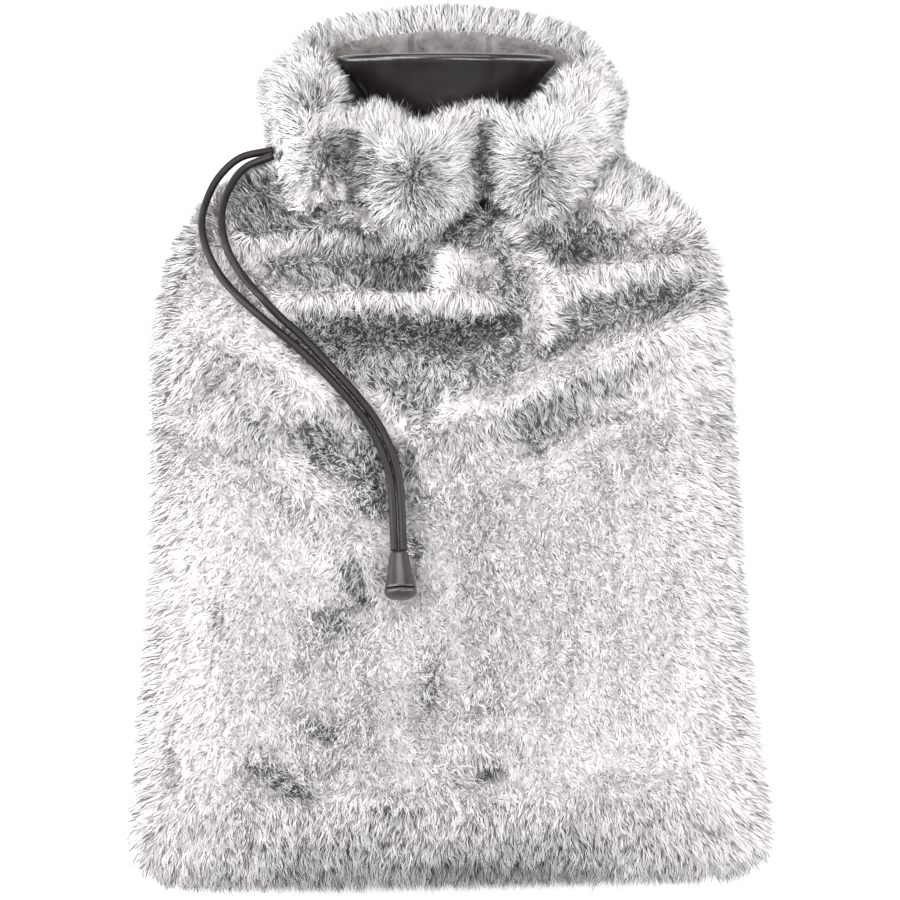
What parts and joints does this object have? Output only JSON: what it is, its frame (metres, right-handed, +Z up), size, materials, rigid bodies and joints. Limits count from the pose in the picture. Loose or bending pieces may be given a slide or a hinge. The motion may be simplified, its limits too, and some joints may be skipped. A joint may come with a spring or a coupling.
{
  "type": "hot water bottle in drawstring fur cover",
  "caption": "Rubber hot water bottle lying on its back in a long-pile faux fur cover, gathered round its neck by a dark drawstring with a bell end.",
  "frame": {"origin": "on the surface, under the middle of the cover and bottle, cords left out", "axes": "+Y from the bottom seam towards the funnel, +Z up out of the front, +X to the right as seen from above"},
  "size_m": [0.2493, 0.3372, 0.0762],
  "materials": {
    "fur": "long-pile faux fur, dark grey at the root and near white at the tip",
    "velour": "short-pile velour, warm grey",
    "rubber": "satin moulded rubber, dark brown-black",
    "cord": "round braided cord, nearly black",
    "bell": "satin moulded plastic, dark brown-grey"
  },
  "bodies": {
    "root": {"front_panel": "fur", "back_panel": "fur", "heading": "fur", "heading_lining": "velour", "bottle": "rubber", "cord_outer": "cord", "cord_inner": "cord", "cord_bell": "bell", "cord_bell_cap": "bell"}
  },
  "joints": []
}
